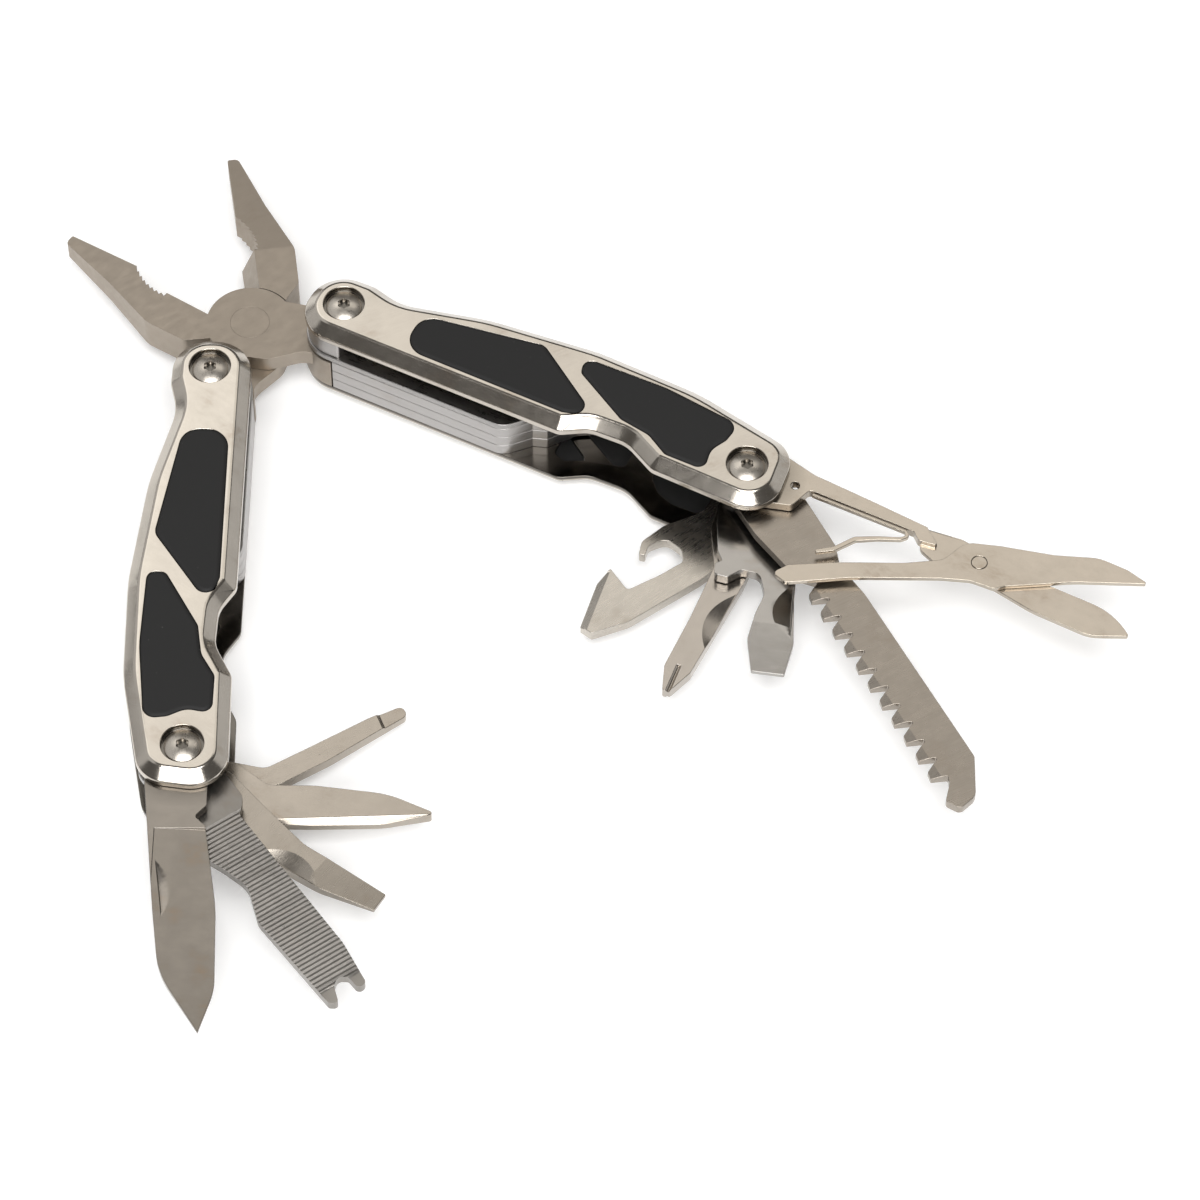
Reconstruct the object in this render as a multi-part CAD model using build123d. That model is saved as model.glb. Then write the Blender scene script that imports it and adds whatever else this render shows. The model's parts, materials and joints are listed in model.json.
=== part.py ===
from build123d import *
import os
from math import atan, cos, degrees, radians, sin

# Folding pliers with two hinged handles. Each handle is a sandwich of a back cover, three leaf
# springs, a liner, an open bay with two slim springs, and a front cover, on a screw post at each
# end. Five tools turn on the far post of each handle. The pliers turn on a rivet between the jaws.
#
# Millimetres. +Z points out of the front covers, and every joint turns about Z.
# A handle is drawn in its own frame: u from the pliers-end post towards the tool post, v towards
# the side that faces the other handle. The left handle is placed as drawn, the right one mirrored.
# A tool is drawn in its own frame: s along the tool from its post, t across it, where t below
# zero is the back that shows when the tool is folded away.

# ---------------------------------------------------------------- driving dimensions
POST_SPAN = 88.0          # from the pliers-end post to the tool post
TANG_REACH = 19.3         # from the pliers rivet to each handle's post
BOX_SHIFT = (2.0, -12.1)  # puts the origin under the middle of the bounding box
PIVOT = (-70.2 + BOX_SHIFT[0], 73.1 + BOX_SHIFT[1])

FRONT_JAW_ANGLE = 148.0   # directions as the tool lies open, counter-clockwise from +X
REAR_JAW_ANGLE = 99.0
RIGHT_TANG_ANGLE = -7.2
LEFT_TANG_ANGLE = -109.6
RIGHT_HANDLE_ANGLE = -25.8
LEFT_HANDLE_ANGLE = -90.4

INLAY_PROUD = 0.3         # how far the rubber stands out of a cover
COVER = 3.3               # thickness of a cover
LEAF = 2.7                # pitch of the three lower layers
LINER = 1.4
SLIM = 2.25               # pitch of the two layers in the open bay
THIN_GAP = 0.15           # between a tool and each neighbouring layer

POST_R = 2.2
HOLE_R = POST_R + 0.05    # running clearance on the posts
BOSS_R = 4.8              # round root of each tool
TANG_BOSS_R = 5.0
STOP_R = 8.2              # reach of the stop lug beside a handle's post
LAP_R = 8.7               # round lap joint of the two jaws
LAP_GAP = 0.15

# ---------------------------------------------------------------- heights
BACK_Z = INLAY_PROUD
LOW_Z = BACK_Z + COVER
LINER_Z = LOW_Z + 3 * LEAF
BAY_Z = LINER_Z + LINER
FRONT_Z = BAY_Z + 2 * SLIM
TOP_Z = FRONT_Z + COVER
JAW_LOW = LOW_Z + 0.3
JAW_HIGH = LINER_Z - 0.3
JAW_MID = (JAW_LOW + JAW_HIGH) / 2


def low_layer(n):
    """Bottom and top of a tool in lower layer n, counted from the liner down."""
    top = LINER_Z - n * LEAF
    return top - LEAF + THIN_GAP, top - THIN_GAP


def slim_layer(n):
    """Bottom and top of a tool in bay layer n, counted from the front cover down."""
    top = FRONT_Z - n * SLIM
    return top - SLIM + 0.12, top - 0.12


# ---------------------------------------------------------------- drawing helpers
def outline(points):
    """A face from (x, y, corner radius) points."""
    corners = [(x, y) for x, y, r in points]
    return make_face(FilletPolyline(*corners, radius=[r for x, y, r in points], close=True))


def slab(face, low, high):
    return Pos(0, 0, low) * extrude(face, amount=high - low)


def plate(points, low, high):
    return slab(outline(points), low, high)


def disc(x, y, r, low, high):
    return Pos(x, y, (low + high) / 2) * Cylinder(r, high - low)


def turned(shape, angle, x=0.0, y=0.0):
    """The shape turned about Z and then moved."""
    return Location((x, y, 0), (0, 0, angle)) * shape


def side_wedge(profile, low, high):
    """A prism across a tool: (s, z) profile, from t = low to t = high."""
    face = make_face(Polyline(*[(s, z) for s, z in profile], close=True))
    return Pos(0, high, 0) * extrude(Plane.XZ * face, amount=high - low)


def end_wedge(profile, low, high):
    """A prism along a tool: (t, z) profile, from s = low to s = high."""
    face = make_face(Polyline(*[(t, z) for t, z in profile], close=True))
    return Pos(low, 0, 0) * extrude(Plane.YZ * face, amount=high - low)


def around(centre, distance, angle):
    return centre[0] + distance * cos(radians(angle)), centre[1] + distance * sin(radians(angle))


LEFT_POST = around(PIVOT, TANG_REACH, LEFT_TANG_ANGLE)
RIGHT_POST = around(PIVOT, TANG_REACH, RIGHT_TANG_ANGLE)


def on_left(shape):
    return turned(shape, LEFT_HANDLE_ANGLE, *LEFT_POST)


def on_right(shape):
    return turned(mirror(shape, about=Plane.XZ), RIGHT_HANDLE_ANGLE, *RIGHT_POST)


# ---------------------------------------------------------------- handle shells
COVER_OUTLINE = [
    (-7.6, 8.0, 7.4), (51.4, 8.0, 2.6), (56.4, 4.9, 6), (64.4, 4.6, 7), (71.4, 8.2, 3),
    (97.0, 8.8, 7.0), (94.8, -7.9, 6.5), (72.0, -12.3, 40), (50.0, -12.8, 40),
    (27.0, -10.4, 40), (9.5, -6.0, 12), (3.0, -7.6, 4), (-7.5, -7.4, 7.2),
]
INLAY_OUTLINES = [
    [(15.4, 4.6, 4.4), (15.4, -4.2, 4.0), (40.2, -8.2, 3.0), (54.6, 1.6, 2.2), (53.2, 4.0, 1.6),
     (50.4, 4.8, 1.5)],
    [(48.6, -9.0, 1.9), (66.0, -9.4, 30), (82.6, -7.6, 2.4), (82.0, -3.2, 2.4), (80.3, 0.2, 4),
     (81.2, 5.1, 1.8), (72.8, 5.1, 2), (68.0, 2.3, 4), (61.5, 1.3, 2), (49.6, -5.4, 1.6)],
]
INNER_WINDOWS = [
    [(47.8, -5.0, 1.5), (47.8, 3.0, 1.5), (50.3, 3.9, 1.0), (54.0, 2.0, 5), (61.8, -0.1, 1),
     (61.8, -5.0, 1.5)],
    [(67.8, -6.0, 1.5), (67.8, -0.2, 1.5), (70.4, 2.6, 3), (74.0, 3.9, 2), (80.4, 3.7, 2), (80.4, -6.0, 2)],
]
LIP = 0.6                 # thickness of the inner lip that holds the rubber
RECESS_R, RECESS_DEPTH = 4.1, 1.3
RIM_DROP, RIM_WIDTH = 2.1, 2.3


def front_cover():
    """A pressed plate with a sloping rim, two windows, and a recess round each screw head."""
    body = plate(COVER_OUTLINE, 0, COVER)
    body = chamfer(body.faces().sort_by(Axis.Z)[-1].edges(), RIM_DROP, RIM_WIDTH)
    for window in INLAY_OUTLINES:
        body -= plate(window, LIP, COVER + 1)
    for window in INNER_WINDOWS:
        body -= plate(window, -1, LIP)
    for u in (0, POST_SPAN):
        body -= disc(u, 0, RECESS_R, COVER - RECESS_DEPTH, COVER + 1)
        body -= disc(u, 0, HOLE_R, -1, COVER + 1)
    return body


def front_inlays():
    """Two rubber inlays that fill the windows and stand a little proud."""
    pads = []
    for window in INLAY_OUTLINES:
        pad = slab(offset(outline(window), -0.08), LIP, COVER + INLAY_PROUD)
        pads.append(chamfer(pad.faces().sort_by(Axis.Z)[-1].edges(), 0.35))
    return pads


def flipped(shape):
    """A front piece turned into its back twin."""
    return Pos(0, 0, BACK_Z + COVER) * mirror(shape, about=Plane.XY)


def raised(shape):
    return Pos(0, 0, FRONT_Z) * shape


LINER_OUTLINE = [
    (-7.4, 7.9, 7.3), (39.0, 8.1, 4), (43.4, 3.4, 1), (46.0, 2.5, 0.8), (50.0, -2.6, 3), (57.5, -7.0, 4),
    (80.0, -7.0, 1), (84.0, 0, 0), (84.0, 4.6, 3), (92.6, 4.6, 4.5), (92.6, -8.0, 4), (72.0, -11.8, 40),
    (50.0, -12.3, 40), (27.0, -9.9, 40), (9.5, -5.5, 12), (3.0, -7.1, 4), (-7.3, -6.9, 6.8),
]


def liner():
    """The layer under the open bay, cut away like the leaf springs and widened again at the tool post."""
    body = plate(LINER_OUTLINE, LINER_Z, BAY_Z)
    for u in (0, POST_SPAN):
        body -= disc(u, 0, HOLE_R, 0, TOP_Z)
    for u, v in BLOCK_PINS + [BAY_PIN]:
        body -= disc(u, v, PIN_R, 0, TOP_Z)
    return body


BLOCK_PINS = [(14.0, 1.0), (31.0, -1.0)]
BAY_PIN = (13.5, -4.0)
PIN_R = 1.2
LEAF_OUTLINE = [
    (1.1, 5.4, 0), (1.1, 8.0, 0.1), (39.0, 8.1, 4), (43.4, 3.4, 1), (46.0, 2.5, 0.8), (50.0, -2.6, 3),
    (57.5, -7.0, 4), (84.5, -7.0, 0.4), (84.5, -8.6, 0.4), (72.0, -11.5, 38), (50.0, -12.0, 38),
    (27.2, -9.6, 38), (9.8, -5.4, 6), (6.4, -5.4, 0.5), (4.2, 0, 0),
]


def leaf_spring(n):
    """A thick block by the pliers-end post that thins to a spring along the outer side."""
    top = LINER_Z - n * LEAF
    body = plate(LEAF_OUTLINE, top - LEAF, top) - disc(0, 0, TANG_BOSS_R + 0.6, 0, TOP_Z)
    for u, v in BLOCK_PINS:
        body -= disc(u, v, PIN_R, 0, TOP_Z)
    return body


BAY_SPRING_OUTLINE = [
    (9.5, -1.8, 1), (17.0, -1.8, 2), (24.0, -6.6, 6), (50.0, -9.4, 40), (72.0, -8.6, 40),
    (84.5, -7.0, 0.4), (84.5, -8.6, 0.4), (72.0, -11.5, 38), (50.0, -12.0, 38), (27.2, -9.6, 38),
    (9.8, -5.4, 2),
]


def bay_spring(n):
    """A slim spring along the outer side of the open bay."""
    top = FRONT_Z - n * SLIM
    return plate(BAY_SPRING_OUTLINE, top - SLIM, top) - disc(*BAY_PIN, PIN_R, 0, TOP_Z)


def bay_spacer():
    """The block that holds the front cover off the liner at the pliers-end post."""
    points = [(-7.2, 7.6, 7.1), (2.6, 7.6, 0.6), (2.6, -6.3, 0.6), (-7.0, -6.9, 6.6)]
    return plate(points, BAY_Z, FRONT_Z) - disc(0, 0, HOLE_R, 0, TOP_Z)


def posts():
    """Two posts through the sandwich, each drilled for a screw at both ends."""
    low, high = BACK_Z + RECESS_DEPTH, TOP_Z - RECESS_DEPTH
    made = []
    for u in (0, POST_SPAN):
        drilled = disc(u, 0, POST_R, low, high)
        for end in (low, high):
            drilled -= disc(u, 0, SCREW_R + 0.05, end - SCREW_HOLE_DEPTH, end + SCREW_HOLE_DEPTH)
        made.append(drilled)
    return made


SCREW_R = 1.3
SCREW_HOLE_DEPTH = 5.0
HEAD_R = 3.5
HEAD_HEIGHT = 1.3
HEAD_DOME = 0.9           # how far the middle of the head stands above its edge
SOCKET_R, LOBE_R = 0.95, 0.34
SOCKET_FLOOR = 0.35
SHANK = 4.5


def screw():
    """A domed screw head with a six-lobed socket, its seat at z = 0 and its shank below."""
    dome_r = (HEAD_R**2 + HEAD_DOME**2) / (2 * HEAD_DOME)
    head = disc(0, 0, HEAD_R, 0, 2) & (Pos(0, 0, HEAD_HEIGHT - dome_r) * Sphere(dome_r))
    socket = disc(0, 0, SOCKET_R, SOCKET_FLOOR, 3)
    for k in range(6):
        socket += disc(*around((0, 0), SOCKET_R, 60 * k), LOBE_R, SOCKET_FLOOR, 3)
    return head - socket + disc(0, 0, SCREW_R, -SHANK, 0.2)


def screws():
    made = []
    for u in (0, POST_SPAN):
        made.append(Pos(u, 0, TOP_Z - RECESS_DEPTH) * screw())
        made.append(Pos(u, 0, BACK_Z + RECESS_DEPTH) * mirror(screw(), about=Plane.XY))
    return made


def block_pins():
    pins = [disc(u, v, PIN_R, LOW_Z, BAY_Z) for u, v in BLOCK_PINS]
    return pins + [disc(*BAY_PIN, PIN_R, LINER_Z, FRONT_Z)]


WASHER, WASHER_R = 0.16, 4.2


def tool_washers():
    """Thin washers between neighbouring tools on the tool post."""
    made = []
    for z in (LINER_Z - LEAF, LINER_Z - 2 * LEAF, FRONT_Z - SLIM):
        washer = disc(POST_SPAN, 0, WASHER_R, z - WASHER / 2, z + WASHER / 2)
        made.append(washer - disc(POST_SPAN, 0, HOLE_R, 0, TOP_Z))
    return made


# ---------------------------------------------------------------- jaws
JAW_LENGTH = 43.6
JAW_GAP = 0.1             # from the middle line to each closed jaw
WIRE_EDGE_END = 18.0      # where the wire cutter ends and the jaw starts to taper
TIP_THICKNESS = 3.8
GRIP_START, GRIP_END = (27.6, 0.0), (18.0, 3.1)
TEETH = 8
TOOTH_DEPTH = 0.55
GRIP_BOW = 1.1


def grip_points():
    """The curved, toothed pipe grip, from its outer end to its inner end."""
    points = []
    for k in range(TEETH):
        for part, depth in ((0.0, 0.0), (0.75, TOOTH_DEPTH)):
            f = (k + part) / TEETH
            bow = GRIP_BOW * 4 * f * (1 - f)
            a = GRIP_START[0] + (GRIP_END[0] - GRIP_START[0]) * f
            b = GRIP_START[1] + (GRIP_END[1] - GRIP_START[1]) * f
            points.append((a, b + bow + depth, 0))
    return points


def jaw_arm():
    """One jaw in its closed place: a along the jaws, b away from the other jaw."""
    points = [(JAW_LENGTH, JAW_GAP, 0.4), (JAW_LENGTH, 2.3, 1.2), (30.0, 6.4, 30), (17.5, 11.0, 5),
              (8.5, 10.8, 2), (4.2, 7.4, 0), (2.0, 3.0, 0), (9.0, JAW_GAP, 0), (WIRE_EDGE_END, JAW_GAP, 0)]
    points += [(a, b + JAW_GAP, r) for a, b, r in reversed(grip_points())]
    body = plate(points, JAW_LOW, JAW_HIGH)
    half = TIP_THICKNESS / 2
    end = JAW_LENGTH + 1
    side = [(0, JAW_LOW), (WIRE_EDGE_END, JAW_LOW), (end, JAW_MID - half), (end, JAW_MID + half),
            (WIRE_EDGE_END, JAW_HIGH), (0, JAW_HIGH)]
    body &= side_wedge(side, -5, 20)
    wire_edge = [(-1, JAW_LOW + 1.2), (JAW_GAP, JAW_LOW + 1.2), (2.9, JAW_HIGH + 0.1), (-1, JAW_HIGH + 0.1)]
    return body - end_wedge(wire_edge, 5, WIRE_EDGE_END + 0.3)


def tang(low, high):
    """The arm from the rivet to a handle post: x along it, y below zero on the side of the other tang."""
    web = plate([(-1.0, 8.5, 2), (6.0, 6.1, 5), (TANG_REACH, 5.0, 3), (TANG_REACH, -6.0, 3),
                 (11.5, -5.8, 6), (5.0, -8.7, 5), (0.0, -8.6, 2)], low, high)
    boss = disc(TANG_REACH, 0, TANG_BOSS_R, JAW_LOW, JAW_HIGH)
    return web + boss


def stop_lug(fold):
    """The sector beside a handle post that meets the leaf springs when the handle is open."""
    sector = disc(0, 0, STOP_R, JAW_LOW, JAW_HIGH)
    sector &= plate([(0.9, 0.5, 0), (0.9, 12, 0), (-8.6, 12, 0), (-8.6, 0.5, 0)], JAW_LOW, JAW_HIGH)
    return Pos(TANG_REACH, 0, 0) * turned(mirror(sector, about=Plane.XZ), fold)


def half_jaw(arm_angle, tang_angle, handle_angle, low, high):
    """A jaw with its share of the lap joint and its tang, drawn for the jaw whose tang is on the right."""
    fold = handle_angle - tang_angle
    clear = disc(0, 0, LAP_R + LAP_GAP, 0, TOP_Z)
    body = turned(jaw_arm() - clear, arm_angle)
    body += turned(tang(low, high) + (stop_lug(fold) - clear), tang_angle)
    body += disc(0, 0, LAP_R, low, high)
    body += turned(jaw_arm() & disc(0, 0, LAP_R + 3, low, high), arm_angle) - disc(0, 0, LAP_R, 0, TOP_Z)
    post = around((0, 0), TANG_REACH, tang_angle)
    return body - disc(*post, HOLE_R, 0, TOP_Z) - disc(0, 0, RIVET_R, 0, TOP_Z)


RIVET_R = 3.9
RIVET_GAP = 0.06


def front_jaw():
    body = half_jaw(FRONT_JAW_ANGLE, RIGHT_TANG_ANGLE, RIGHT_HANDLE_ANGLE, JAW_MID + 0.05, JAW_HIGH)
    return Pos(*PIVOT, 0) * body


def rear_jaw():
    """The mirror twin of the front jaw, with the lower half of the lap joint."""
    body = half_jaw(-REAR_JAW_ANGLE, -LEFT_TANG_ANGLE, -LEFT_HANDLE_ANGLE, JAW_LOW, JAW_MID - 0.05)
    body -= disc(0, 0, RIVET_R + RIVET_GAP, 0, TOP_Z)
    return Pos(*PIVOT, 0) * mirror(body, about=Plane.XZ)


def pliers_rivet():
    return disc(*PIVOT, RIVET_R, JAW_LOW, JAW_HIGH)


# ---------------------------------------------------------------- tools
def tool(points, layer, *cuts):
    """A flat tool with a round root and a post hole."""
    low, high = layer
    body = plate(points, low, high) + disc(0, 0, BOSS_R, low, high) - disc(0, 0, HOLE_R, 0, TOP_Z)
    for cut in cuts:
        body -= cut
    return body


def nail_nick(s, t, length, width, angle, top, depth=0.6):
    """A crescent ground by a tilted wheel, deepest along its straight side."""
    r = (length**2 / 4 + depth**2) / (2 * depth)
    wheel = Pos(0, 4, r) * Rot(90, 0, 0) * Cylinder(r, 8)
    tilt = degrees(atan(depth / width))
    return Location((s, t, top - depth), (0, 0, angle)) * Rot(tilt, 0, 0) * wheel


def knife():
    low, high = slim_layer(0)
    mid = (low + high) / 2
    points = [(0, -4.8, 0), (5.5, -7.0, 2), (34.0, -3.9, 60), (47.0, -2.2, 18), (59.2, 5.6, 0),
              (50.5, 8.2, 14), (33.0, 7.6, 40), (15.8, 4.9, 0.5), (13.8, 2.8, 0.6), (11.5, 4.9, 0.8),
              (0, 4.8, 0)]
    grind = [[(-4.5, high + 1), (-4.5, high - 0.02), (9.0, mid + 0.12), (9.0, high + 1)],
             [(-4.5, low - 1), (-4.5, low + 0.02), (9.0, mid - 0.12), (9.0, low - 1)]]
    cuts = [end_wedge(profile, 16.4, 70) for profile in grind]
    cuts.append(nail_nick(29.5, -2.9, 13.0, 3.4, 8, high, 0.85))
    return tool(points, slim_layer(0), *cuts)


def fish_file():
    """A file whose end is forked to free a fish hook."""
    points = [(0, -4.8, 0), (6, -5.6, 3), (14.3, -4.4, 2), (20.5, -8.0, 0.6), (24.5, -6.4, 6),
              (30.0, -4.7, 6), (37.5, -7.2, 4), (59.2, -5.7, 0.8), (60.3, -4.2, 0.7), (56.8, -3.0, 0.6),
              (55.4, -1.4, 1.2), (56.6, 0.2, 0.8), (59.6, 0.4, 0.9), (59.4, 2.3, 0.9), (50.0, 3.3, 20),
              (16.0, 2.2, 1), (14.6, 3.6, 0.4), (12.8, 4.8, 0.6), (0, 4.8, 0)]
    return tool(points, slim_layer(1))


def tapered(tip_s, start_s, layer, edge, half_width=9.0):
    """Two wedges that thin a driver's end to an edge of the given thickness."""
    low, high = layer
    mid = (low + high) / 2
    upper = [(start_s, high + 0.01), (tip_s + 1, mid + edge / 2), (tip_s + 1, high + 1), (start_s, high + 1)]
    lower = [(start_s, low - 0.01), (tip_s + 1, mid - edge / 2), (tip_s + 1, low - 1), (start_s, low - 1)]
    return [side_wedge(upper, -half_width * 2, half_width), side_wedge(lower, -half_width * 2, half_width)]


def small_driver():
    layer = low_layer(0)
    points = [(0, -4.8, 0), (8, -5.6, 3), (18, -6.0, 4), (36.0, -4.4, 10), (46.8, -1.6, 0.2),
              (46.4, 2.4, 0.2), (28.0, 1.2, 10), (16.0, 3.2, 5), (8, 4.8, 3), (0, 4.8, 0)]
    nick = nail_nick(29.0, -4.5, 14.0, 3.2, 4, layer[1], 0.9)
    return tool(points, layer, nick, *tapered(46.8, 33.0, layer, 0.7))


def awl():
    layer = low_layer(1)
    low, high = layer
    points = [(0, -4.8, 0), (7, -8.0, 3), (14.7, -7.6, 3), (25.0, -6.2, 20), (38.0, -3.9, 20),
              (47.9, -0.4, 0.5), (38.0, 2.5, 20), (24.0, 2.2, 20), (15.5, 0.9, 3), (9.0, 4.6, 3),
              (0, 4.8, 0)]
    bevel = [(-12.0, high - 1.7), (-9.6, high), (-9.6, high + 1), (-12.0, high + 1)]
    return tool(points, layer, turned(end_wedge(bevel, -40, 60), 11))


def cutter():
    """The thin round-tipped blade, with a step near its tip."""
    layer = low_layer(2)
    points = [(0, -4.8, 0), (6, -6.4, 2), (17.0, -6.1, 3), (27.0, -4.5, 20), (37.5, -2.0, 10),
              (44.4, -0.3, 1.3), (43.9, 2.1, 1.1), (37.0, 1.5, 8), (24.0, -0.5, 20), (15.0, -1.8, 3),
              (9.5, 2.0, 2), (6.4, 4.8, 1.5), (0, 4.8, 0)]
    high = layer[1]
    step = [(38.6, high), (39.2, high - 0.5), (50, high - 0.9), (50, high + 1), (38.6, high + 1)]
    return tool(points, layer, side_wedge(step, -9, 9))


SCISSOR_RIVET = (48.8, -0.8)
SCISSOR_RIVET_R = 1.5


SCISSOR_LOW, SCISSOR_HIGH = slim_layer(0)
LOWER_BLADE_TOP = (SCISSOR_LOW + SCISSOR_HIGH) / 2 - 0.02
UPPER_BLADE_LOW = LOWER_BLADE_TOP + 0.04


def scissor_base():
    """The arm on the tool post, which steps down to the lower blade."""
    arm = [(0, -4.8, 0), (5, -7.3, 2), (12, -5.6, 4), (24.0, -4.9, 20), (36.5, -4.0, 0.4),
           (40.3, -0.9, 0.4), (36.2, -0.4, 0.6), (34.6, -1.9, 0.5), (12.6, -1.9, 1.0), (11.0, 3.0, 1.5),
           (5, 4.8, 2), (0, 4.8, 0)]
    blade = [(35.5, -4.1, 0.4), (43.6, -5.0, 4), (58.0, -2.6, 20), (76.0, -2.2, 14), (81.0, 1.5, 0.4),
             (74.0, 4.8, 8), (62.0, 4.4, 20), (52.0, 2.6, 10), (44.0, 3.6, 4), (37.0, 0.8, 2)]
    body = plate(arm, SCISSOR_LOW, SCISSOR_HIGH) + plate(blade, SCISSOR_LOW, LOWER_BLADE_TOP)
    body += disc(0, 0, BOSS_R, SCISSOR_LOW, SCISSOR_HIGH)
    body -= disc(0, 0, HOLE_R, 0, TOP_Z) + disc(9.6, -1.6, 0.9, 0, TOP_Z)
    return body - disc(*SCISSOR_RIVET, SCISSOR_RIVET_R, 0, TOP_Z)


def scissor_lever():
    """The upper blade and its thumb lever."""
    points = [(14.2, 18.9, 0.9), (16.2, 15.9, 1.2), (25.0, 10.9, 10), (36.0, 5.6, 10), (42.4, 1.6, 4),
              (44.5, -4.0, 4), (51.0, -6.2, 8), (61.0, -8.8, 14), (69.0, -12.0, 8), (75.0, -11.8, 4),
              (79.8, -10.6, 0.3), (67.0, -4.8, 20), (55.5, 2.0, 2), (53.6, 3.6, 1.2), (49.0, 3.8, 4),
              (43.5, 5.9, 10), (28.0, 13.4, 20), (17.5, 19.9, 1.4)]
    body = plate(points, UPPER_BLADE_LOW, SCISSOR_HIGH)
    return body - disc(*SCISSOR_RIVET, SCISSOR_RIVET_R + 0.05, 0, TOP_Z)


def scissor_rivet():
    return disc(*SCISSOR_RIVET, SCISSOR_RIVET_R, SCISSOR_LOW, SCISSOR_HIGH)


def scissor_spring():
    """A folded strip that pushes the lever open."""
    points = [(13.4, -1.6, 0.2), (33.4, -1.6, 1.0), (34.4, -0.4, 0.8), (33.2, 1.0, 1.2), (29.2, 2.8, 2),
              (25.5, 5.0, 2), (23.0, 8.7, 2), (19.8, 10.9, 0.2), (19.3, 10.3, 0.2), (22.2, 8.1, 2),
              (24.8, 4.2, 2), (28.8, 2.1, 2), (32.8, 0.4, 0.6), (33.5, -0.4, 0.3), (33.0, -1.0, 0.4),
              (13.4, -1.0, 0.2)]
    return plate(points, UPPER_BLADE_LOW, SCISSOR_HIGH - 0.1)


SAW_TEETH = 11
SAW_FIRST, SAW_LAST = 27.0, 77.0


def saw():
    points = [(0, -4.8, 0), (8.0, -8.0, 4), (21.5, -7.8, 3), (26.0, -6.2, 6), (34.0, -7.2, 4),
              (75.5, -7.2, 1.5), (83.2, -3.0, 2.5), (84.3, 0.9, 1.2), (81.6, 2.6, 0.8), (78.6, 0.0, 0.4)]
    pitch = (SAW_LAST - SAW_FIRST) / SAW_TEETH
    for k in range(SAW_TEETH):
        s = SAW_LAST - k * pitch
        points += [(s, -0.6, 0.3), (s - 0.25 * pitch, 2.4, 0)]
        points += [(s - 0.62 * pitch, 2.1, 0), (s - 0.9 * pitch, -0.6, 0.3)]
    points += [(24.0, 2.6, 1), (12.0, 4.6, 3), (0, 4.8, 0)]
    return tool(points, slim_layer(1))


def wide_driver():
    """A wide screwdriver with a wire-stripping notch at its root."""
    layer = low_layer(0)
    points = [(0, -4.8, 0), (6.0, -8.6, 3), (11.0, -11.8, 2), (24.0, -12.4, 4), (34.0, -13.5, 4),
              (41.0, -12.6, 0.3), (41.0, -6.2, 0.3), (34.0, -4.6, 4), (28.0, -5.4, 4), (23.5, -6.6, 3),
              (19.0, -5.2, 2), (18.4, -1.6, 1.5), (20.6, 1.0, 1.0), (20.2, 3.6, 0.9), (17.6, 3.7, 0.6),
              (16.8, 2.4, 0.4), (14.6, 3.6, 1), (8.0, 4.6, 2), (0, 4.8, 0)]
    nick = nail_nick(27.0, -12.2, 13.0, 3.6, -4, layer[1], 0.9)
    return tool(points, layer, nick, *tapered(41.0, 30.0, layer, 0.8))


def cross_driver():
    """A cross-head screwdriver ground from bar."""
    layer = low_layer(1)
    low, high = layer
    points = [(0, -4.8, 0), (6.0, -6.6, 3), (19.0, -6.3, 4), (30.0, -5.0, 10), (42.0, -3.6, 2),
              (47.4, -1.2, 0.4), (47.4, 0.2, 0.4), (42.0, 1.7, 2), (30.0, 0.8, 10), (17.0, 0.4, 4),
              (9.0, 4.0, 4), (0, 4.8, 0)]
    flutes = []
    for z in ((low + high) / 2 - 1.6, (low + high) / 2 + 1.6):
        flutes.append(Pos(45.5, -0.95, z) * Rot(45, 0, 0) * Box(9, 1.3, 1.3))
    nick = nail_nick(29.0, -4.9, 14.0, 2.8, 5, high, 0.8)
    return tool(points, layer, nick, *flutes)


def can_opener():
    """A can blade with a cap-lifting hook behind it."""
    low, high = low_layer(2)
    points = [(0, -4.8, 0), (8.0, -7.6, 4), (17.8, -7.8, 4), (34.5, -6.8, 8), (42.0, -4.4, 0.6),
              (42.6, -1.6, 0.6), (33.6, 4.4, 1.2), (29.6, 5.2, 0.3), (30.2, -0.8, 0.8), (23.0, -2.0, 3),
              (17.6, -2.4, 1), (16.0, 0.0, 2.4), (16.6, 3.8, 2.4), (20.4, 4.8, 1.6), (22.4, 3.4, 0.3),
              (23.2, 4.4, 0.4), (20.8, 6.4, 2), (15.0, 6.6, 5), (8.0, 4.6, 3), (0, 4.8, 0)]
    edge = plate([(29.0, 4.0, 0), (34.0, 7.0, 0), (44.0, 0, 0), (42.0, -3.2, 0), (33.0, 2.6, 0)], low, high)
    bevel = edge & (Pos(38.2, 1.2, high + 0.55) * Rot(0, 0, -33) * Rot(-28, 0, 0) * Box(30, 8, 2.4))
    return tool(points, low_layer(2), bevel)


# ---------------------------------------------------------------- assembly
def in_handle(shape, angle):
    """A tool turned to its open angle on the tool post."""
    return turned(shape, angle, POST_SPAN, 0)


KNIFE_ANGLE, FILE_ANGLE, SMALL_DRIVER_ANGLE, AWL_ANGLE, CUTTER_ANGLE = 0.5, 35.0, 53.0, 82.0, 113.0
SCISSOR_ANGLE, SAW_ANGLE, WIDE_DRIVER_ANGLE, CROSS_DRIVER_ANGLE, OPENER_ANGLE = 0.0, 36.0, 72.0, 84.0, 115.0


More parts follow.
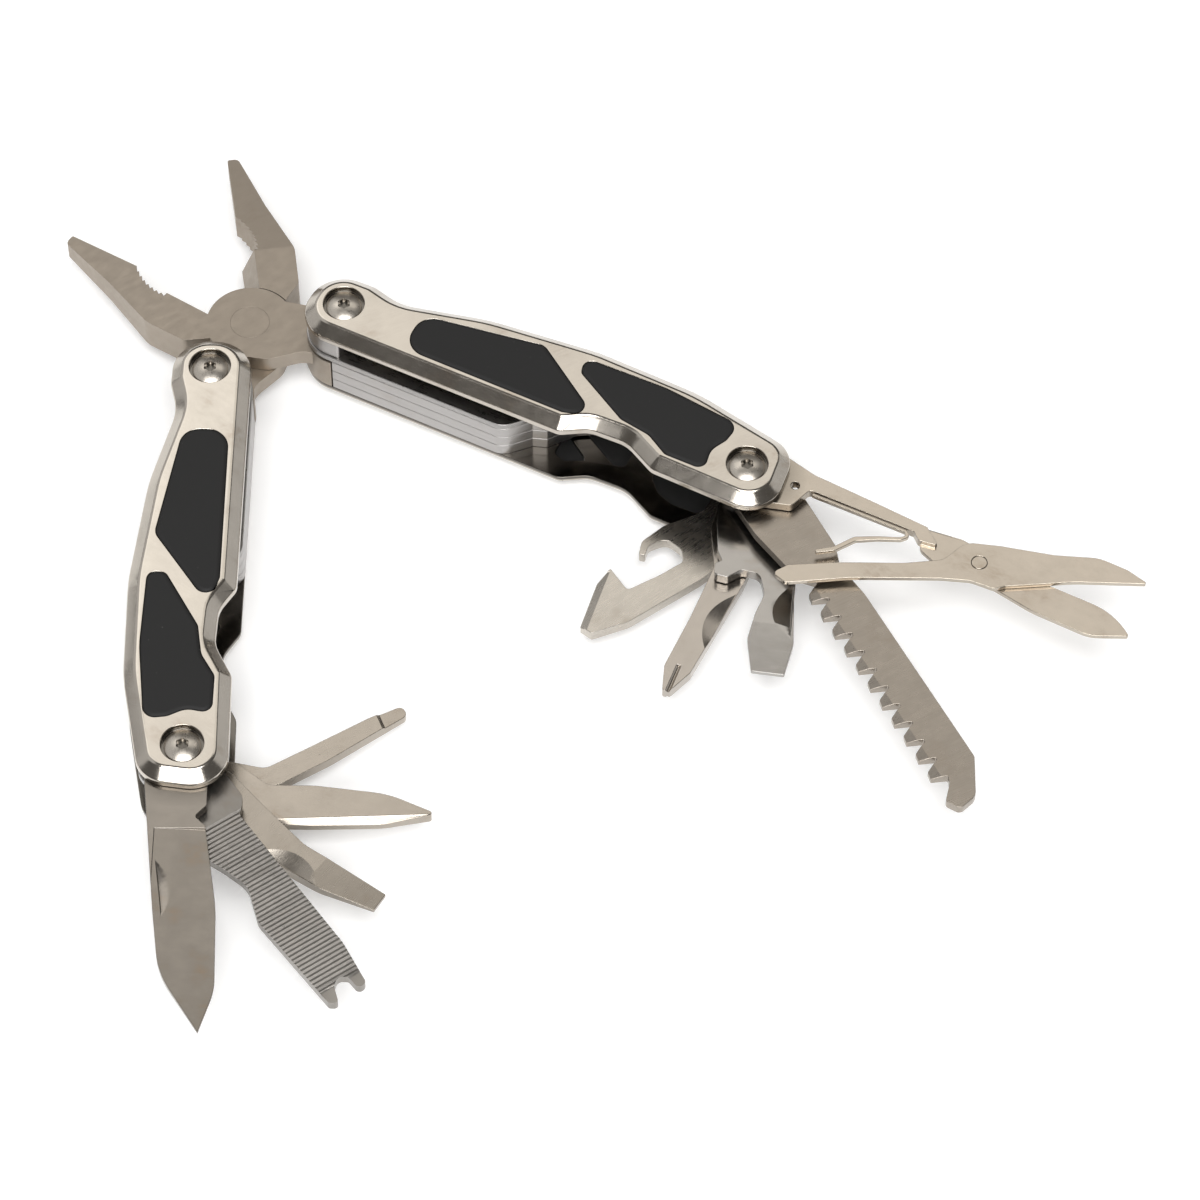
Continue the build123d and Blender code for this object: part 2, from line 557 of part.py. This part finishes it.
def handle_nodes(side, place):
    """Every fixed piece of one handle, by node name."""
    nodes = {
        f"{side}_front_cover": raised(front_cover()),
        f"{side}_back_cover": flipped(front_cover()),
        f"{side}_front_inlays": [raised(pad) for pad in front_inlays()],
        f"{side}_back_inlays": [flipped(pad) for pad in front_inlays()],
        f"{side}_liner": liner(),
        f"{side}_bay_spacer": bay_spacer(),
        f"{side}_posts": posts(),
        f"{side}_screws": screws(),
        f"{side}_pins": block_pins(),
        f"{side}_tool_washers": tool_washers(),
    }
    for n, name in enumerate(("upper", "middle", "lower")):
        nodes[f"{side}_{name}_leaf_spring"] = leaf_spring(n)
    for n, name in enumerate(("outer", "inner")):
        nodes[f"{side}_{name}_bay_spring"] = bay_spring(n)
    return {name: [place(solid) for solid in as_list(shape)] for name, shape in nodes.items()}


def as_list(shape):
    return shape if isinstance(shape, list) else [shape]


def tool_nodes():
    left = {
        "knife_blade": (knife(), KNIFE_ANGLE),
        "file_hook_remover": (fish_file(), FILE_ANGLE),
        "small_screwdriver": (small_driver(), SMALL_DRIVER_ANGLE),
        "awl_blade": (awl(), AWL_ANGLE),
        "cutter_blade": (cutter(), CUTTER_ANGLE),
    }
    right = {
        "scissor_base": (scissor_base(), SCISSOR_ANGLE),
        "scissor_lever": (scissor_lever(), SCISSOR_ANGLE),
        "scissor_rivet": (scissor_rivet(), SCISSOR_ANGLE),
        "scissor_spring": (scissor_spring(), SCISSOR_ANGLE),
        "saw_blade": (saw(), SAW_ANGLE),
        "wide_screwdriver": (wide_driver(), WIDE_DRIVER_ANGLE),
        "cross_screwdriver": (cross_driver(), CROSS_DRIVER_ANGLE),
        "can_bottle_opener": (can_opener(), OPENER_ANGLE),
    }
    nodes = {name: [on_left(in_handle(*made))] for name, made in left.items()}
    nodes.update({name: [on_right(in_handle(*made))] for name, made in right.items()})
    return nodes


def all_nodes():
    nodes = {"front_jaw": [front_jaw()], "rear_jaw": [rear_jaw()], "pliers_rivet": [pliers_rivet()]}
    nodes.update(handle_nodes("left", on_left))
    nodes.update(handle_nodes("right", on_right))
    nodes.update(tool_nodes())
    return nodes


def main():
    os.makedirs("parts", exist_ok=True)
    for name, solids in all_nodes().items():
        made = [solid for shape in solids for solid in shape.solids()]
        export_step(Compound(label=name, children=made), f"parts/{name}.step")
    print("pliers pivot", PIVOT)
    print("pliers-end posts", LEFT_POST, RIGHT_POST)
    print("left tool post", around(LEFT_POST, POST_SPAN, LEFT_HANDLE_ANGLE))
    print("right tool post", around(RIGHT_POST, POST_SPAN, RIGHT_HANDLE_ANGLE))
    rivet = on_right(in_handle(Pos(*SCISSOR_RIVET, 0) * Sphere(1), SCISSOR_ANGLE))
    print("scissor rivet", rivet.center())


main()
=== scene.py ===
"""The looks of a folding pliers multi tool: finished steel and rubber, studio light and camera.

Metres, +Z up, out of the front covers. Each handle and each tool has a drawing frame of its own:
x runs along it from its post, and y is across it, on the side that faces the other handle.
"""

import json
from math import cos, pi, radians, sin

import bmesh
import bpy
from mathutils import Euler, Matrix, Vector


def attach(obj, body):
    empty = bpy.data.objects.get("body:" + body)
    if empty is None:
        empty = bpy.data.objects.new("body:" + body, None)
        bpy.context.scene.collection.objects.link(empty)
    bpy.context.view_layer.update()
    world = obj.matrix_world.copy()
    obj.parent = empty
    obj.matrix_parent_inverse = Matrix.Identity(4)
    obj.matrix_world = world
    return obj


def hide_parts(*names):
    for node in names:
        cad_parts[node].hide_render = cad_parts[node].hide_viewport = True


MM = 0.001
POST_SPAN = 88.0          # from a handle's pliers-end post to its tool post, in millimetres

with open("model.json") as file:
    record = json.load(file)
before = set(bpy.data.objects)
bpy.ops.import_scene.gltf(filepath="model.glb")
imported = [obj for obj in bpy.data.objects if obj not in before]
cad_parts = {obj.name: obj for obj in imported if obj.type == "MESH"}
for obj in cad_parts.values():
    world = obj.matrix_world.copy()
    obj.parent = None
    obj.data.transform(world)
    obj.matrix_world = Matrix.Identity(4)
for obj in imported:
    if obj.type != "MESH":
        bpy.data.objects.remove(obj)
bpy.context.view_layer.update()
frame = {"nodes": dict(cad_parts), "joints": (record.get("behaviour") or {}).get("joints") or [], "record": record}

JOINTS = {joint["name"]: joint for joint in frame["joints"]}
NODE_BODY = {node: body for body, nodes in frame["record"]["behaviour"]["bodies"].items() for node in nodes}
NODE_SLOT = {part["node"]: part["material_slot"] for part in frame["record"]["subparts"]}


# ---------------------------------------------------------------- drawing frames
def pivot(joint):
    return Vector(JOINTS[joint]["pos_m"])


def drawing_frame(origin, direction, mirrored):
    """The matrix that takes a point of a drawing frame to its place in the row frame."""
    x = direction.normalized()
    y = Vector((-x.y, x.x, 0)) * (-1 if mirrored else 1)
    return Matrix(((x.x, y.x, 0, origin.x), (x.y, y.y, 0, origin.y), (0, 0, 1, 0), (0, 0, 0, 1)))


def handle_frame(side, tool_joint):
    post, tool_post = pivot(side + "_handle_fold"), pivot(tool_joint)
    return drawing_frame(post, tool_post - post, side == "right")


def tool_frame(side, tool_joint, open_angle):
    """The frame of a tool that lies open at an angle to its handle."""
    handle = handle_frame(side, tool_joint)
    along = handle.to_3x3() @ Vector((cos(radians(open_angle)), sin(radians(open_angle)), 0))
    return drawing_frame(pivot(tool_joint), along, side == "right")


HANDLE = {"left": handle_frame("left", "knife_fold"), "right": handle_frame("right", "saw_fold")}
TOOL = {
    "knife_blade": tool_frame("left", "knife_fold", 0.5),
    "file_hook_remover": tool_frame("left", "file_fold", 35.0),
    "small_screwdriver": tool_frame("left", "small_screwdriver_fold", 53.0),
    "awl_blade": tool_frame("left", "awl_fold", 82.0),
    "cutter_blade": tool_frame("left", "cutter_fold", 113.0),
    "scissor_base": tool_frame("right", "scissors_fold", 0.0),
    "saw_blade": tool_frame("right", "saw_fold", 36.0),
    "wide_screwdriver": tool_frame("right", "wide_screwdriver_fold", 72.0),
    "cross_screwdriver": tool_frame("right", "cross_screwdriver_fold", 84.0),
    "can_bottle_opener": tool_frame("right", "opener_fold", 115.0),
}


def heading(matrix):
    """The direction of a drawing frame's x axis, as an angle about Z."""
    return Vector((1, 0)).angle_signed(matrix.col[0].to_2d()) * -1


# ---------------------------------------------------------------- materials
class Surface:
    """A principled material whose detail is worked out from the piece's own coordinates, in millimetres."""

    def __init__(self, name, turn=0.0, **uniform):
        self.material = bpy.data.materials.new(name)
        self.material.use_nodes = True
        self.tree = self.material.node_tree
        self.shader = self.tree.nodes["Principled BSDF"]
        for socket, value in uniform.items():
            self.shader.inputs[socket.replace("_", " ")].default_value = value
        self.turn = turn
        self.place = self.tree.nodes.new("ShaderNodeTexCoord").outputs["Object"]

    def add(self, kind, links=(), **values):
        """A new node: links feed its sockets, capital values set its sockets, and others its options."""
        made = self.tree.nodes.new("ShaderNode" + kind)
        for key, value in values.items():
            if key[0].isupper():
                made.inputs[key.replace("_", " ")].default_value = value
            else:
                setattr(made, key, value)
        for socket, source in dict(links).items():
            self.tree.links.new(source, made.inputs[socket])
        return made

    def spread(self, stretch=(1, 1, 1)):
        """Coordinates in millimetres, turned along the piece and then stretched."""
        turned = self.add("Mapping", {"Vector": self.place}, Rotation=(0, 0, -self.turn), Scale=(1000,) * 3)
        return self.add("Mapping", {"Vector": turned.outputs[0]}, Scale=stretch).outputs[0]

    def noise(self, size, detail=2.0, stretch=(1, 1, 1), rough=0.5):
        """Soft noise whose blotches are about size millimetres wide."""
        place = {"Vector": self.spread(stretch)}
        return self.add("TexNoise", place, Scale=1 / size, Detail=detail, Roughness=rough).outputs["Fac"]

    def specks(self, spacing, size):
        """Small dots, one in each cell of the given spacing, in millimetres."""
        made = self.add("TexVoronoi", {"Vector": self.spread()}, Scale=1 / spacing)
        return self.between(made.outputs["Distance"], size / spacing, size / spacing * 0.6)

    def between(self, value, low, high, to_low=0.0, to_high=1.0):
        """Value's way from low to high, spread over to_low to to_high and held there outside."""
        names = {"From_Min": low, "From_Max": high, "To_Min": to_low, "To_Max": to_high}
        return self.add("MapRange", {"Value": value}, **names).outputs[0]

    def mixed(self, share, one, two):
        """Colours or sockets one and two, mixed by share."""
        made = self.add("Mix", {0: share}, data_type="RGBA")
        for socket, colour in ((made.inputs[6], one), (made.inputs[7], two)):
            if isinstance(colour, bpy.types.NodeSocket):
                self.tree.links.new(colour, socket)
            else:
                socket.default_value = (*colour, 1)
        return made.outputs[2]

    def away_from(self, centre):
        """Distance in millimetres from the upright axis through centre, which is given in metres."""
        flat = self.add("Mapping", {"Vector": self.place}, Location=(-centre.x, -centre.y, 0), Scale=(1, 1, 0))
        length = self.add("VectorMath", {0: flat.outputs[0]}, operation="LENGTH").outputs["Value"]
        return self.between(length, 0, 1, 0, 1000)

    def product(self, one, two):
        return self.add("Math", {0: one, 1: two}, operation="MULTIPLY").outputs[0]

    def colour(self, socket):
        self.tree.links.new(socket, self.shader.inputs["Base Color"])

    def roughness(self, socket):
        self.tree.links.new(socket, self.shader.inputs["Roughness"])

    def bump(self, height, depth):
        """Relief of the given depth in millimetres, on top of any relief the surface already has."""
        made = self.add("Bump", {"Height": height}, Strength=1.0, Distance=depth * MM)
        if self.shader.inputs["Normal"].is_linked:
            self.tree.links.new(self.shader.inputs["Normal"].links[0].from_socket, made.inputs["Normal"])
        self.tree.links.new(made.outputs[0], self.shader.inputs["Normal"])


def scaled(colour, factor):
    return tuple(channel * factor for channel in colour)


TARNISH = (0.30, 0.22, 0.15)


def steel(name, colour, rough, turn, brush, smudge, grain=0.0, painted_shade=(), shade_height=None):
    """Stainless steel with fine brushing along its turn, cloudy smudges, small pits, and tarnish in patches.

    Its list of discs, each (centre, inner radius, outer radius, share), is painted shade: dark discs that fade out
    between the two radii, in the shaded root of a tool, the recess round a screw head or a screw's socket. Above
    the given height, in metres, the colour is darkened as painted shade within the handle; its roughness stays.
    """
    paint = Surface(name, turn, Metallic=1.0)
    lines = paint.noise(0.22, 3, (0.035, 1, 1), 0.7)
    clouds = paint.noise(9.0, 3)
    fine = paint.noise(1.6, 4, (0.6, 1, 1), 0.65)
    tone = paint.mixed(lines, scaled(colour, 1 - 0.22 * brush), scaled(colour, 1 + 0.18 * brush))
    tone = paint.mixed(paint.between(clouds, 0.42, 0.72, 0.0, 0.4 * smudge), tone, scaled(colour, 0.74))
    stain = paint.product(paint.between(clouds, 0.56, 0.74), paint.between(fine, 0.4, 0.65, 0.0, 0.5 * smudge))
    tone = paint.mixed(stain, tone, TARNISH)
    # painted shade: dark discs round each centre, for a recess, a socket or the root of a tool
    for centre, inner, outer, share in painted_shade:
        dark = paint.between(paint.away_from(centre), outer, inner, 0.0, share)
        tone = paint.mixed(dark, tone, scaled(colour, 0.2))
    # painted shade within the handle: the colour darkens above the given height
    if shade_height:
        height = paint.add("SeparateXYZ", {0: paint.place}).outputs[2]
        tone = paint.mixed(paint.between(height, shade_height, shade_height + 0.0002, 0.0, 0.8), tone, scaled(colour, 0.12))
    pits = paint.specks(2.6, 0.09)
    paint.colour(paint.mixed(paint.product(pits, paint.between(fine, 0.52, 0.56)), tone, scaled(colour, 0.25)))
    wear = paint.add("Math", {0: lines, 1: fine}, operation="ADD").outputs[0]
    paint.roughness(paint.between(wear, 0.6, 1.4, rough * 0.72, rough * 1.32))
    paint.bump(lines, 0.0016 * brush + 0.0003)
    if grain:
        paint.bump(paint.noise(0.3, 3), 0.004 * grain)
    return paint.material


def rubber():
    """Matt black rubber with a fine moulded grain and a little dust."""
    paint = Surface("inlay_rubber", Metallic=0.0, IOR=1.38)
    clouds = paint.noise(7.0, 3)
    dust = paint.product(paint.specks(2.1, 0.07), paint.between(paint.noise(4.0, 2), 0.5, 0.56))
    tone = paint.mixed(clouds, (0.0095, 0.0095, 0.0097), (0.016, 0.0158, 0.0155))
    paint.colour(paint.mixed(dust, tone, (0.22, 0.21, 0.2)))
    paint.roughness(paint.between(clouds, 0.35, 0.65, 0.6, 0.72))
    paint.bump(paint.noise(0.16, 2), 0.006)
    return paint.material


COVER_TONE = (0.53, 0.49, 0.435)
JAW_TONE = (0.35, 0.305, 0.255)
SPRING_TONE = (0.43, 0.415, 0.405)
LINER_TONE = (0.36, 0.35, 0.34)
BRONZE_TONE = (0.62, 0.46, 0.26)
RECESS_SHADE = (4.04, 4.1, 0.9)    # painted shade round a screw head, in its recess: inner and outer radius in millimetres, and share
SOCKET_SHADE = (0.95, 1.3, 0.9)    # painted shade in a screw's socket
ROOT_SHADE = (5.5, 12.0, 0.7)      # painted shade at the root of a tool, where the handle above shades it
COVER_SLANT = radians(52)    # the covers' brushing crosses their length at this angle
BACK_SHADE_HEIGHT = 0.0028         # height, in metres, above which a back cover lies within the handle and is painted with shade

# each tool's tone, roughness, brushing, smudges, and the turn of its brushing from its length
TOOL_LOOK = {
    "knife_blade": ((0.26, 0.237, 0.21), 0.2, 0.35, 1.3, 90),
    "file_hook_remover": ((0.27, 0.255, 0.235), 0.34, 0.5, 0.5, 0),
    "small_screwdriver": ((0.37, 0.335, 0.29), 0.24, 0.4, 0.8, 90),
    "awl_blade": ((0.41, 0.37, 0.32), 0.22, 0.3, 1.0, 0),
    "cutter_blade": ((0.41, 0.37, 0.32), 0.24, 0.3, 0.6, 0),
    "scissor_base": ((0.48, 0.43, 0.365), 0.2, 0.3, 0.8, 0),
    "saw_blade": ((0.33, 0.295, 0.255), 0.3, 1.0, 0.4, 90),
    "wide_screwdriver": ((0.38, 0.365, 0.345), 0.2, 0.3, 0.6, 90),
    "cross_screwdriver": ((0.42, 0.385, 0.345), 0.2, 0.3, 0.6, 0),
    "can_bottle_opener": ((0.52, 0.485, 0.435), 0.28, 0.2, 0.7, 0),
}


def make_materials():
    """Every node's material: steel is brushed along its own handle or tool, or across it."""
    made = {}
    pads = rubber()
    for side, place in HANDLE.items():
        turn = heading(place)
        posts = [place @ Vector((u * MM, 0, 0)) for u in (0, POST_SPAN)]
        # painted shade in the recesses and sockets round both posts
        recesses = [(post, *RECESS_SHADE) for post in posts]
        sockets = [(post, *SOCKET_SHADE) for post in posts]
        slant = turn + COVER_SLANT
        cover_look = (COVER_TONE, 0.17, slant, 0.6, 1.0)
        covers = steel(side + "_cover_steel", *cover_look, painted_shade=recesses)
        # the back covers also get painted shade within the handle
        backs = steel(side + "_back_steel", *cover_look, painted_shade=recesses, shade_height=BACK_SHADE_HEIGHT)
        springs = steel(side + "_spring_steel", SPRING_TONE, 0.34, turn, 0.8, 0.3)
        liners = steel(side + "_liner_steel", LINER_TONE, 0.30, turn, 0.5, 0.4)
        screws = steel(side + "_screw_steel", COVER_TONE, 0.3, turn, 0.2, 0.4, painted_shade=sockets)
        bronze = steel(side + "_washer_bronze", BRONZE_TONE, 0.35, turn, 0.3, 0.5)
        finishes = {"cover_steel": covers, "spring_steel": springs, "liner_steel": liners,
                    "screw_steel": screws, "washer_bronze": bronze, "inlay_rubber": pads}
        for node, slot in NODE_SLOT.items():
            if node.startswith(side + "_"):
                made[node] = backs if node.endswith("back_cover") else finishes[slot]
    for node, (tone, rough, brush, smudge, turn) in TOOL_LOOK.items():
        place = TOOL[node]
        # painted shade at each tool's root
        made[node] = steel(node + "_steel", tone, rough, heading(place) + radians(turn), brush, smudge,
                           painted_shade=[(place.translation, *ROOT_SHADE)])
    for node in ("scissor_lever", "scissor_rivet", "scissor_spring"):
        made[node] = made["scissor_base"]
    for node in ("front_jaw", "rear_jaw", "pliers_rivet"):
        made[node] = steel(node + "_steel", JAW_TONE, 0.42, radians(35), 0.35, 0.25, 0.6)
    return made


# ---------------------------------------------------------------- finished pieces
CUTS = (0, 20, 35, 52, 60, 75, 88)    # places along a handle that pass through every hole of its plates
WELD = 0.002                          # corners closer than this, in millimetres, are one
SLIVER = 0.004                        # edges shorter than this are removed
FLAT = radians(0.5)                   # faces closer than this in angle are one
CORNER = radians(28)                  # edges sharper than this are rounded
CREASE = cos(radians(50))             # faces whose normals' product is above this shade as one surface
RIDGE_WIDTH = 0.42                    # rounding of the ridge above a cover's sloping rim
RIM_FOOT_WIDTH = 0.3                  # rounding of the edge below it


def everything(bm):
    return bm.verts[:] + bm.edges[:] + bm.faces[:]


def divide(bm, at, across, snap=0.0):
    """Cuts every face along the plane through at, and returns what the cut made.

    Corners closer to the plane than snap count as on it.
    """
    return bmesh.ops.bisect_plane(bm, geom=everything(bm), dist=snap, plane_co=at, plane_no=across)["geom_cut"]


def clean_mesh(node):
    """A copy of a CAD node's mesh in millimetres, with its corners joined and its flats merged.

    The plates of a handle are divided through their holes first, so that no merged flat has a hole.
    """
    bm = bmesh.new()
    bm.from_mesh(frame["nodes"][node].data)
    bmesh.ops.scale(bm, vec=(1 / MM,) * 3, verts=bm.verts)
    bmesh.ops.remove_doubles(bm, verts=bm.verts, dist=WELD)
    if node.endswith(("cover", "liner")):
        place = HANDLE[node.split("_")[0]]
        along = place.to_3x3() @ Vector((1, 0, 0))
        for u in CUTS:
            for piece in divide(bm, place.translation / MM + along * u, along, 0.0005):
                if isinstance(piece, bmesh.types.BMEdge):
                    piece.seam = True
    bmesh.ops.dissolve_limit(bm, angle_limit=FLAT, verts=bm.verts, edges=bm.edges, delimit={"SEAM"})
    bmesh.ops.dissolve_degenerate(bm, edges=bm.edges, dist=SLIVER)
    bm.normal_update()
    return bm


def sharp(edge):
    return len(edge.link_faces) == 2 and edge.calc_face_angle(0) > CORNER


def even_width(edge, plain):
    """Rounding that is the same for all of a piece's edges; each such rule takes the slot's plain width."""
    return plain


def cover_width(edge, plain):
    """Rounding of a cover's edges: most at the ridge above its sloping rim."""
    low, high = sorted(abs(face.normal.z) for face in edge.link_faces)
    slopes = 0.2 < low < 0.95 or 0.2 < high < 0.95
    if slopes and high > 0.99:
        return RIDGE_WIDTH
    return RIM_FOOT_WIDTH if slopes and low < 0.05 else plain


def inlay_width(edge, plain):
    """Rounding of an inlay's edges: most round its top."""
    return plain if max(abs(face.normal.z) for face in edge.link_faces) > 0.99 else plain * 0.3


def drawn(node, point):
    """A point of a tool's mesh, in the millimetres of the tool's drawing frame."""
    return TOOL[node].inverted() @ (point * MM) / MM


def file_ridges(bm):
    """Cuts shallow grooves straight across the file's upper face."""
    place = TOOL["file_hook_remover"]
    along = place.to_3x3() @ Vector((1, 0, 0))
    top = max(vertex.co.z for vertex in bm.verts)
    first, last, step, depth = 15.0, 57.6, 0.46, 0.17
    for k in range(int((last - first) / step)):
        divide(bm, place.translation / MM + along * (first + k * step), along)
    for vertex in bm.verts:
        s = drawn("file_hook_remover", vertex.co).x
        row = round((s - first) / step)
        if vertex.co.z > top - 0.01 and row % 2 and abs(s - first - row * step) < 0.01 and s < last:
            vertex.co.z -= depth


def saw_facets(bm):
    """Grinds a slope on the upper face of every tooth."""
    place = TOOL["saw_blade"]
    across = place.to_3x3() @ Vector((0, 1, 0))
    top = max(vertex.co.z for vertex in bm.verts)
    first, last, root, slope = 26, 77.5, 0.55, 0.4
    divide(bm, place.translation / MM + across * root, across)
    for vertex in bm.verts:
        point = drawn("saw_blade", vertex.co)
        if vertex.co.z > top - 0.01 and point.y > root + 0.01 and first < point.x < last:
            vertex.co.z -= slope * (point.y - root)


def level(face):
    """Whether a face is one of a piece's two flat sides."""
    return abs(face.normal.z) > 0.9995


def weigh_normals(mesh):
    """Smooth shading in which large faces stay flat: a corner's normal is its neighbours', weighed by area.

    Faces of the rounded edges, which carry material 1, blend into everything near them. Between other
    faces a level face stays apart from a ground one, so that ground lines stay crisp.
    """
    touching = [[] for _ in mesh.vertices]
    for face in mesh.polygons:
        for vertex in face.vertices:
            touching[vertex].append(face)
    normals = [None] * len(mesh.loops)
    for face in mesh.polygons:
        for loop in face.loop_indices:
            normal = Vector()
            for other in touching[mesh.loops[loop].vertex_index]:
                rounded = face.material_index or other.material_index
                if other.normal.dot(face.normal) > CREASE and (rounded or level(face) == level(other)):
                    normal += other.normal * other.area
            normals[loop] = normal.normalized()
    mesh.normals_split_custom_set(normals)


def finished(node, material, plain, segments, shape, rule):
    """A node's mesh with rounded edges, which stands for the node.

    The rule gives each edge its width from the plain one, and shape, if any, adds detail first.
    """
    bm = clean_mesh(node)
    if shape:
        shape(bm)
        bm.normal_update()
    weight = bm.edges.layers.float.new("bevel_weight_edge")
    for edge in bm.edges:
        if sharp(edge):
            edge[weight] = rule(edge, plain)
    mesh = bpy.data.meshes.new(node + "_finished")
    bm.to_mesh(mesh)
    bm.free()
    piece = bpy.data.objects.new(node + "_finished", mesh)
    bpy.context.scene.collection.objects.link(piece)
    bevel = piece.modifiers.new("edges", "BEVEL")
    bevel.width = 1.0
    bevel.segments = segments
    bevel.limit_method = "WEIGHT"
    bevel.use_clamp_overlap = False
    bevel.material = 1
    mesh.materials.append(material)
    mesh.materials.append(material)
    evaluated = piece.evaluated_get(bpy.context.evaluated_depsgraph_get())
    baked = bpy.data.meshes.new_from_object(evaluated)
    piece.modifiers.clear()
    piece.data = baked
    baked.transform(Matrix.Scale(MM, 4))
    baked.shade_smooth()
    weigh_normals(baked)
    for face in baked.polygons:
        face.material_index = 0
    baked.materials.pop(index=1)
    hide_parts(node)
    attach(piece, NODE_BODY[node])


# the plain width of each slot's rounded edges, in millimetres
EDGE_WIDTH = {"cover_steel": 0.14, "inlay_rubber": 0.4, "screw_steel": 0.04, "spring_steel": 0.16,
              "liner_steel": 0.16, "washer_bronze": 0.03, "jaw_steel": 0.045, "ground_steel": 0.12,
              "file_steel": 0.03, "blade_steel": 0.12}
EDGE_RULE = {"cover_steel": cover_width, "inlay_rubber": inlay_width}
SHAPES = {"file_hook_remover": file_ridges, "saw_blade": saw_facets}


def make_pieces():
    materials = make_materials()
    for node, slot in NODE_SLOT.items():
        segments = 4 if slot in EDGE_RULE else 2
        rule = EDGE_RULE.get(slot, even_width)
        finished(node, materials[node], EDGE_WIDTH[slot], segments, SHAPES.get(node), rule)


# ---------------------------------------------------------------- light, floor and camera
CAMERA_DISTANCE = 0.9463
CAMERA_ELEVATION = radians(55.35)
CAMERA_ROLL = radians(0.5)
CAMERA_TARGET = Vector((2.0, -12.1, 20.9)) * MM
LENS, SENSOR = 150, 36


def make_camera():
    data = bpy.data.cameras.new("camera")
    data.lens, data.sensor_width = LENS, SENSOR
    camera = bpy.data.objects.new("camera", data)
    bpy.context.scene.collection.objects.link(camera)
    back = Vector((0, -cos(CAMERA_ELEVATION), sin(CAMERA_ELEVATION)))
    aim = Euler((pi / 2 - CAMERA_ELEVATION, 0, 0)).to_matrix() @ Euler((0, 0, CAMERA_ROLL)).to_matrix()
    camera.matrix_world = Matrix.Translation(CAMERA_TARGET + back * CAMERA_DISTANCE) @ aim.to_4x4()
    bpy.context.scene.camera = camera


def softbox(name, azimuth, elevation, distance, width, height, radiance, colour=(1, 1, 1)):
    """A rectangular light that faces the tool, in degrees and metres; azimuth 0 is on the camera's side."""
    data = bpy.data.lights.new(name, "AREA")
    data.shape, data.size, data.size_y = "RECTANGLE", width, height
    data.energy = radiance * pi * width * height
    data.color = colour
    lamp = bpy.data.objects.new(name, data)
    bpy.context.scene.collection.objects.link(lamp)
    a, e = radians(azimuth), radians(elevation)
    out = Vector((sin(a) * cos(e), -cos(a) * cos(e), sin(e)))
    lamp.location = out * distance
    lamp.rotation_euler = out.to_track_quat("Z", "Y").to_euler()
    lamp.visible_camera = False


def make_studio():
    """A dim room, a big light overhead, and cards whose reflections shade the steel."""
    world = bpy.data.worlds.new("studio")
    world.use_nodes = True
    world.node_tree.nodes["Background"].inputs["Color"].default_value = (0.13, 0.125, 0.12, 1)
    bpy.context.scene.world = world
    softbox("overhead", 0, 69, 2.0, 1.3, 0.9, 7.5)
    softbox("back_card", 180, 54, 2.0, 2.2, 0.9, 1.15, (1, 0.97, 0.92))
    softbox("front_card", -6, 37, 0.6, 0.56, 0.24, 4.5)
    softbox("left_card", -120, 35, 2.0, 2.6, 2.4, 0.55)
    softbox("right_card", 112, 16, 2.0, 1.6, 1.1, 0.6)
    bpy.context.scene.view_settings.view_transform = "Standard"


def make_floor():
    paint = Surface("floor_paper", Metallic=0.0, Emission_Strength=0.22, Emission_Color=(1, 1, 1, 1))
    paint.colour(paint.mixed(paint.noise(60, 2), (0.86, 0.86, 0.86), (0.88, 0.88, 0.88)))
    paint.roughness(paint.between(paint.noise(3, 2), 0, 1, 0.85, 0.95))
    bpy.ops.mesh.primitive_plane_add(size=16)
    floor = bpy.context.object
    floor.name = "floor"
    floor.data.materials.append(paint.material)


make_camera()
make_studio()
make_floor()
make_pieces()
